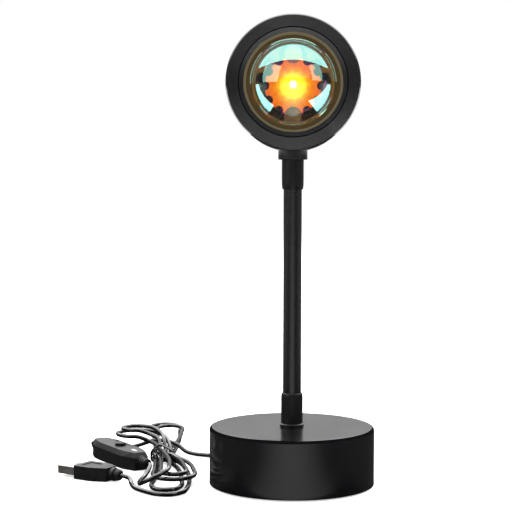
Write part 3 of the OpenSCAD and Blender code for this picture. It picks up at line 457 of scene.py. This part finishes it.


def turnBezel(tree):
    shader = tree.nodes["Principled BSDF"]
    turning = addNode(tree, "ShaderNodeTangent", {"direction_type": "RADIAL", "axis": "Y"})
    tree.links.new(turning.outputs["Tangent"], shader.inputs["Tangent"])
    across, away = fromAxis(tree, tree.nodes["Texture Coordinate"])
    # the painted dark ring along the groove: its shine is taken away there
    inGroove = addNode(tree, "ShaderNodeMath", {
        "operation": "COMPARE", 1: groove["radiusMm"] / 1000, 2: groove["halfMm"] / 1000},
        {0: away})
    gloss = addNode(tree, "ShaderNodeMath", {"operation": "SUBTRACT", 0: 1.0}, {1: inGroove})
    tree.links.new(gloss.outputs["Value"], shader.inputs["Specular IOR Level"])


turnBezel(finishes["turnedBezel"].node_tree)

# turned collar, black anodised aluminium: a little lighter and harder than the paint
finishes["anodised"] = newMaterial("blackAnodisedAluminium", {"IOR": 1.5}, {
    "grainMm": 0.5, "grainStrength": 0.1, "patchMm": 8, "rough": (0.36, 0.44),
    "tones": ("#161618", "#1c1c1e")})

# injection-moulded ABS with a spark-eroded texture: matt black
finishes["abs"] = newMaterial("mouldedBlackAbs", {"IOR": 1.53, "Specular IOR Level": 0.35}, {
    "grainMm": 0.6, "grainStrength": 0.3, "patchMm": 9, "rough": (0.4, 0.5),
    "tones": ("#0c0c0d", "#111112")})

# moulded soft PVC of the strain reliefs, grommet and foot pad: dull, with a coarse skin
finishes["softPvc"] = newMaterial("mouldedSoftPvc", {"IOR": 1.5}, {
    "grainMm": 0.8, "grainStrength": 0.16, "patchMm": 7, "rough": (0.42, 0.52),
    "tones": ("#0b0b0c", "#101011")})

# black ABS barrel behind the lens, given brown tones and a painted brown glow, which stand in for
# the lamp's light falling on it
finishes["barrel"] = newMaterial("lensBarrelAbs", {
    "IOR": 1.5, "Emission Color": hexColour("#4c421e"), "Emission Strength": 0.9}, {
    "grainMm": 0.8, "grainStrength": 0.2, "patchMm": 6, "rough": (0.42, 0.55),
    "tones": ("#1e150b", "#2a1d0e")})

# olive silicone gasket behind the lens, with a painted olive glow which stands in for the lamp's
# light shining into it
finishes["gasket"] = newMaterial("oliveSiliconeGasket", {
    "IOR": 1.43, "Emission Color": hexColour("#948c66"), "Emission Strength": 0.5}, {
    "grainMm": 0.7, "grainStrength": 0.1, "patchMm": 6, "rough": (0.35, 0.45),
    "tones": ("#4a4520", "#6a5a28")})

# extruded aluminium heat sink, natural: bright with a dull drawn skin
finishes["aluminium"] = newMaterial("extrudedAluminium", {"Metallic": 1.0}, {
    "grainMm": 0.4, "grainStrength": 0.2, "patchMm": 5, "rough": (0.3, 0.42),
    "tones": ("#c4c6c8", "#d0d2d4")})

# rolled and zinc-plated steel of plates, nuts, screws and spring: bright and bluish grey
finishes["zinc"] = newMaterial("zincPlatedSteel", {"Metallic": 1.0}, {
    "grainMm": 0.5, "grainStrength": 0.15, "patchMm": 4, "rough": (0.26, 0.4),
    "tones": ("#b4b6b8", "#c6c7c8")})

# spring steel of the wound core: oiled, dark grey
finishes["springSteel"] = newMaterial("woundSpringSteel", {"Metallic": 1.0}, {
    "grainMm": 0.5, "grainStrength": 0.2, "patchMm": 3, "rough": (0.32, 0.46),
    "tones": ("#76777a", "#8a8b8d")})

# sand-cast iron weight: rough and dull
finishes["castIron"] = newMaterial("sandCastIron", {"Metallic": 0.7}, {
    "grainMm": 1.2, "grainStrength": 0.8, "patchMm": 10, "rough": (0.6, 0.8),
    "tones": ("#3c3b3a", "#4c4a48")})

# turned brass nipples: yellow and bright
finishes["brass"] = newMaterial("turnedBrass", {"Metallic": 1.0}, {
    "grainMm": 0.4, "grainStrength": 0.15, "patchMm": 4, "rough": (0.22, 0.34),
    "tones": ("#c9a253", "#d8b566")})

# nickel-plated shell of the USB plug, folded from sheet: warm and smooth
finishes["nickel"] = newMaterial("nickelPlatedShell", {"Metallic": 1.0}, {
    "grainMm": 0.5, "grainStrength": 0.08, "patchMm": 5, "rough": (0.3, 0.4),
    "tones": ("#dcd8d0", "#e8e4dc")})

# white nylon of the plug's tongue and the switch's window: milky, with a soft gloss
finishes["nylon"] = newMaterial("whiteNylon", {"IOR": 1.53}, {
    "grainMm": 0.6, "grainStrength": 0.1, "patchMm": 4, "rough": (0.35, 0.45),
    "tones": ("#dcdcda", "#e6e6e4")})

# glass-fibre circuit board under green solder mask, which follows the weave a little
finishes["greenBoard"] = newMaterial("greenSolderMask", {"IOR": 1.5}, {
    "grainMm": 0.6, "grainStrength": 0.2, "patchMm": 2, "rough": (0.3, 0.4),
    "tones": ("#1d5a2c", "#27703a")})

# pressed borosilicate lens under a quarter-wave interference coating, which mirrors
# blue-green and lets orange through
finishes["lens"] = newMaterial("coatedBorosilicateLens", {
    "Base Color": hexColour("#ffffff"), "Roughness": 0.0, "IOR": 1.47,
    "Transmission Weight": 1.0, "Thin Film Thickness": 179.0, "Thin Film IOR": 2.2})

# dichroic glass filter: passes orange, reflects blue-green
finishes["filter"] = newMaterial("dichroicFilterGlass", {
    "Base Color": hexColour("#ffe0b0"), "Roughness": 0.0, "IOR": 1.5,
    "Transmission Weight": 1.0})

# LED board: solder mask on aluminium, with a painted glow from its middle, yellow to orange, which
# stands in for the LED's light on it; beyond its scalloped printed disc it is left dark and unlit
boardLook = {"discMm": 8.2, "scallops": 12, "scallopMm": 1.25, "strength": 2.0,
             "blotchMm": 1.923, "blotchDetail": 2.0, "blotchLeast": 0.25, "blotchMore": 1.6,
             "unlit": "#2a170a", "lit": [(0, "#fff890"), (0.33, "#e8ec2a"), (0.52, "#d2aa18"),
                                         (0.74, "#c4760e"), (1, "#b05c08")]}
finishes["ledBoard"] = newMaterial("litLedBoard", {"Roughness": 0.6, "Specular IOR Level": 0.1})


def addGlow(tree, reachMm, stops):  # colours by the distance from the head's axis
    across, away = fromAxis(tree, addNode(tree, "ShaderNodeTexCoord"))
    spread = addNode(tree, "ShaderNodeMapRange", {"From Max": reachMm / 1000}, {"Value": away})
    ramp = addNode(tree, "ShaderNodeValToRGB", links={"Fac": spread})
    colours = ramp.color_ramp.elements
    colours[0].color, colours[1].color = hexColour(stops[0][1]), hexColour(stops[-1][1])
    for share, code in stops[1:-1]:
        colours.new(share).color = hexColour(code)
    tree.links.new(ramp.outputs["Color"], tree.nodes["Principled BSDF"].inputs["Emission Color"])
    return across, away, ramp


def lightBoard(tree):
    across, away, ramp = addGlow(tree, boardLook["discMm"], boardLook["lit"])
    sector = math.pi / boardLook["scallops"]
    parts = addNode(tree, "ShaderNodeSeparateXYZ", links={"Vector": across})
    angle = addNode(tree, "ShaderNodeMath", {"operation": "ARCTAN2"},
                    {0: parts.outputs["Z"], 1: parts.outputs["X"]})
    turned = addNode(tree, "ShaderNodeMath", {"operation": "WRAP", 1: sector, 2: -sector},
                     {0: angle})
    around = addNode(tree, "ShaderNodeMath", {"operation": "MULTIPLY"}, {0: away, 1: turned})
    outward = addNode(tree, "ShaderNodeMath", {
        "operation": "SUBTRACT", 1: boardLook["discMm"] / 1000}, {0: away})
    toScallop = addNode(tree, "ShaderNodeCombineXYZ", links={"X": around, "Y": outward})
    gap = addNode(tree, "ShaderNodeVectorMath", {"operation": "LENGTH"}, {0: toScallop})
    uncut = addNode(tree, "ShaderNodeMath", {
        "operation": "GREATER_THAN", 1: boardLook["scallopMm"] / 1000},
        {0: gap.outputs["Value"]})
    onDisc = addNode(tree, "ShaderNodeMath", {"operation": "LESS_THAN", 1: 0.0}, {0: outward})
    lit = addNode(tree, "ShaderNodeMath", {"operation": "MULTIPLY"}, {0: onDisc, 1: uncut})
    # uneven patches in the painted glow
    blotch = addNode(tree, "ShaderNodeTexNoise", {
        "Scale": 1000 / boardLook["blotchMm"], "Detail": boardLook["blotchDetail"]},
        {"Vector": toScallop})
    uneven = addNode(tree, "ShaderNodeMath", {
        "operation": "MULTIPLY_ADD", 1: boardLook["blotchMore"] * boardLook["strength"],
        2: boardLook["blotchLeast"] * boardLook["strength"]}, {0: blotch})
    strength = addNode(tree, "ShaderNodeMath", {"operation": "MULTIPLY"}, {0: lit, 1: uneven})
    tone = addNode(tree, "ShaderNodeMix", {
        "data_type": "RGBA", "A": hexColour(boardLook["unlit"])}, {"Factor": lit, "B": ramp})
    shader = tree.nodes["Principled BSDF"]
    tree.links.new(strength.outputs["Value"], shader.inputs["Emission Strength"])
    tree.links.new(tone.outputs["Result"], shader.inputs["Base Color"])


lightBoard(finishes["ledBoard"].node_tree)

# phosphor under a silicone dome: the light itself, white-hot in its middle
emitterLook = {"strength": 5.0, "reachMm": 3.8, "lit": [
    (0, "#ffffff"), (0.2, "#fffff0"), (0.36, "#cfd236"), (0.7, "#a0a012"), (1, "#938c0d")]}
finishes["emitter"] = newMaterial("ledPhosphorDome", {
    "Base Color": hexColour("#ffd84a"), "Emission Strength": emitterLook["strength"],
    "Roughness": 0.2})
addGlow(finishes["emitter"].node_tree, emitterLook["reachMm"], emitterLook["lit"])

wornBy = {
    "baseCoat": ["base_cover"],
    "powderCoat": ["lower_sleeve", "upper_sleeve", "head_housing"],
    "turnedBezel": ["front_bezel"],
    "anodised": ["collar"],
    "abs": ["switch_lower", "switch_upper", "switch_button", "usb_overmould", "rear_cover",
            "cable_stop"],
    "softPvc": ["foot_pad", "cable_grommet", "switch_reliefs", "base_cable", "head_cable"],
    "gasket": ["lens_gasket"],
    "barrel": ["lens_barrel"],
    "aluminium": ["heat_sink"],
    "zinc": ["bottom_plate", "base_screws", "base_washer", "base_nut", "saddle_washer",
             "head_nut", "led_screws", "rear_screws"],
    "springSteel": ["neck_core_bottom", "neck_core_top"]
                   + ["neck_link_%d" % (i + 1) for i in range(neck["joints"] - 1)],
    "castIron": ["counterweight"],
    "brass": ["base_nipple", "head_nipple"],
    "nickel": ["usb_shell"],
    "nylon": ["usb_tongue", "switch_window"],
    "greenBoard": ["driver_board", "switch_board"],
    "lens": ["lens"],
    "filter": ["colour_filter"],
    "ledBoard": ["led_board"],
    "emitter": ["led_emitter"]}
for finish, names in wornBy.items():
    for name in names:
        part = bpy.data.objects[name]
        if not part.material_slots:
            part.data.materials.append(finishes[finish])
        for materialSlot in part.material_slots:
            materialSlot.material = finishes[finish]
print("lamp: finishes on", sum(len(names) for names in wornBy.values()), "CAD pieces")


# Switch: its return spring, a wound wire, made at the length of the CAD part; in the lamp it
# shortens as the button goes down
spring = {"turns": 4, "wireRadiusMm": 0.2, "stepsPerTurn": 32, "sides": 8, "travelMm": 1.4}
springLow, springHigh = [Vector(corner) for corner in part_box("switch_spring")[:2]]
springLength = springHigh.z - springLow.z
springMiddle = (springLow + springHigh) / 2
wireRadius = spring["wireRadiusMm"] / 1000
coilRadius = (springHigh.x - springLow.x) / 2 - wireRadius
steps = spring["turns"] * spring["stepsPerTurn"]
bm = bmesh.new()
bmesh.ops.create_circle(
    bm, segments=spring["sides"], radius=wireRadius,
    matrix=Matrix.Translation((springMiddle.x + coilRadius, springMiddle.y,
                               springLow.z + wireRadius)) @ Matrix.Rotation(math.pi / 2, 4, "X"))
bmesh.ops.spin(bm, geom=bm.verts[:] + bm.edges[:], cent=(springMiddle.x, springMiddle.y, 0),
               axis=(0, 0, 1), dvec=(0, 0, (springLength - 2 * wireRadius) / steps),
               angle=2 * math.pi * spring["turns"], steps=steps, use_merge=False)
for face in bm.faces:
    face.smooth = True
bmesh.ops.holes_fill(bm, edges=[edge for edge in bm.edges if edge.is_boundary],
                     sides=spring["sides"])
bmesh.ops.recalc_face_normals(bm, faces=bm.faces)
returnSpring = addPiece("returnSpring", meshFrom("returnSpring", bm), finishes["zinc"])
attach(returnSpring, "base")
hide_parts("switch_spring")
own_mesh(returnSpring)
print("lamp: return spring wound,", round(springLength * 1000, 2), "mm long")


# Studio: a floor that the camera sees white and that mirrors dark, save for a wedge in
# front of the lamp and the far sides
softStep = {"interpolation_type": "SMOOTHSTEP"}
floorLook = {
    "halfWidth": 30.0, "drop": 0.0002, "seen": "#f4f4f4", "wedgeTip": 0.02, "frontLine": -0.05,
    "glow": {"From Min": 0.4, "From Max": 1.3, "To Min": 0.62, "To Max": 1.05},
    "wedge": {"From Min": 0.0, "From Max": 0.85, "To Min": 0.66, "To Max": 0.05},
    "beside": {"From Min": 0.3, "From Max": 0.6, "To Min": 1.0, "To Max": 0.0},
    "farSides": {"From Min": 0.3, "From Max": 0.6, "To Min": 0.05, "To Max": 0.3}}
bm = bmesh.new()
bmesh.ops.create_grid(bm, x_segments=1, y_segments=1, size=floorLook["halfWidth"],
                      matrix=Matrix.Translation((0, 0, -floorLook["drop"])))
floorPaper = newMaterial("whiteBackdropPaper", {
    "Base Color": hexColour(floorLook["seen"]), "Roughness": 0.9, "Specular IOR Level": 0.0,
    "Emission Color": hexColour("#ffffff")})
studioFloor = addPiece("studioFloor", meshFrom("studioFloor", bm), floorPaper)


def lightFloor(tree):  # the camera and diffuse light see white paper, mirrors a dark floor
    paper = tree.nodes["Principled BSDF"]
    place = addNode(tree, "ShaderNodeTexCoord").outputs["Object"]
    away = addNode(tree, "ShaderNodeVectorMath", {"operation": "LENGTH"}, {0: place})
    glow = addNode(tree, "ShaderNodeMapRange", softStep | floorLook["glow"],
                   {"Value": away.outputs["Value"]})
    tree.links.new(glow.outputs["Result"], paper.inputs["Emission Strength"])
    parts = addNode(tree, "ShaderNodeSeparateXYZ", links={"Vector": place})
    aside = addNode(tree, "ShaderNodeMath", {"operation": "ABSOLUTE"}, {0: parts.outputs["X"]})
    ahead = addNode(tree, "ShaderNodeMath", {"operation": "SUBTRACT", 0: floorLook["wedgeTip"]},
                    {1: parts.outputs["Y"]})
    spread = addNode(tree, "ShaderNodeMath", {"operation": "DIVIDE"}, {0: aside, 1: ahead})
    wedge = addNode(tree, "ShaderNodeMapRange", softStep | floorLook["wedge"],
                    {"Value": spread})
    inFront = addNode(tree, "ShaderNodeMath", {
        "operation": "LESS_THAN", 1: floorLook["frontLine"]}, {0: parts.outputs["Y"]})
    front = addNode(tree, "ShaderNodeMath", {"operation": "MULTIPLY"}, {0: wedge, 1: inFront})
    toCamera = addNode(tree, "ShaderNodeMath", {"operation": "MULTIPLY", 1: -1.0},
                       {0: parts.outputs["Y"]})
    steep = addNode(tree, "ShaderNodeMath", {"operation": "DIVIDE"}, {0: toCamera, 1: aside})
    beside = addNode(tree, "ShaderNodeMapRange", softStep | floorLook["beside"],
                     {"Value": steep})
    farSides = addNode(tree, "ShaderNodeMapRange", softStep | floorLook["farSides"],
                       {"Value": aside})
    sides = addNode(tree, "ShaderNodeMath", {"operation": "MULTIPLY"},
                    {0: beside, 1: farSides})
    strength = addNode(tree, "ShaderNodeMath", {"operation": "MAXIMUM"}, {0: front, 1: sides})
    mirrored = addNode(tree, "ShaderNodeEmission", links={"Strength": strength})
    path = addNode(tree, "ShaderNodeLightPath")
    seen = addNode(tree, "ShaderNodeMath", {"operation": "MAXIMUM"},
                   {0: path.outputs["Is Camera Ray"], 1: path.outputs["Is Diffuse Ray"]})
    both = addNode(tree, "ShaderNodeMixShader", links={0: seen, 1: mirrored, 2: paper})
    tree.links.new(both.outputs["Shader"], tree.nodes["Material Output"].inputs["Surface"])


lightFloor(floorPaper.node_tree)

# the sky is white to the camera, and dim in front and grey behind to everything else
skyLook = {"From Min": 0.55, "From Max": 0.95, "To Min": 0.05, "To Max": 0.52}
world = bpy.data.worlds.new("studioSky")
bpy.context.scene.world = world
world.use_nodes = True


def lightSky(tree):
    tree.nodes.clear()
    place = addNode(tree, "ShaderNodeTexCoord").outputs["Generated"]
    level = addNode(tree, "ShaderNodeVectorMath", {"operation": "MULTIPLY", 1: (1, 1, 0)},
                    {0: place})
    flat = addNode(tree, "ShaderNodeVectorMath", {"operation": "NORMALIZE"}, {0: level})
    parts = addNode(tree, "ShaderNodeSeparateXYZ", links={"Vector": flat})
    back = addNode(tree, "ShaderNodeMapRange", softStep | skyLook,
                   {"Value": parts.outputs["Y"]})
    path = addNode(tree, "ShaderNodeLightPath")
    strength = addNode(tree, "ShaderNodeMath", {"operation": "MAXIMUM"},
                       {0: path.outputs["Is Camera Ray"], 1: back})
    sky = addNode(tree, "ShaderNodeBackground", {"Color": hexColour("#ffffff")},
                  {"Strength": strength})
    addNode(tree, "ShaderNodeOutputWorld", links={"Surface": sky})


lightSky(world.node_tree)

# panels of even brightness that the camera doesn't see; the white cards beside the head
# face up, so that only what is above them sees them
softboxes = {
    "ceilingPanel": {"shape": "ELLIPSE", "at": (0, 1.0, 0.82), "target": (0, 1.0, 0),
                     "size": (3.2, 2.94), "brightness": 3.2},
    "frontLeftBox": {"shape": "RECTANGLE", "at": (-0.94, -0.65, 0.62),
                     "target": (0, -0.04, 0.2165), "size": (0.9, 0.8), "brightness": 1.4},
    "frontRightBox": {"shape": "RECTANGLE", "at": (0.98, -0.6, 0.66),
                      "target": (0, -0.04, 0.2165), "size": (0.6, 0.72), "brightness": 1.2},
    "leftCard": {"shape": "RECTANGLE", "at": (-0.781, 0.176, 0.179),
                 "target": (-0.781, 0.176, 1), "size": (1.5, 0.45), "brightness": 4.2},
    "rightCard": {"shape": "RECTANGLE", "at": (0.781, 0.161, 0.179),
                  "target": (0.781, 0.161, 1), "size": (1.5, 0.45), "brightness": 4.2}}
for name, look in softboxes.items():
    light = bpy.data.lights.new(name, "AREA")
    light.shape = look["shape"]
    light.size, light.size_y = look["size"]
    area = light.size * light.size_y * (math.pi / 4 if light.shape == "ELLIPSE" else 1)
    light.energy = look["brightness"] * math.pi * area
    panel = addPiece(name, light)
    toward = (Vector(look["target"]) - Vector(look["at"])).to_track_quat("-Z", "Y")
    panel.matrix_world = Matrix.Translation(look["at"]) @ toward.to_matrix().to_4x4()
    panel.visible_camera = False
bpy.context.scene.view_settings.view_transform = "Standard"
print("lamp: studio set with", len(softboxes), "panels")
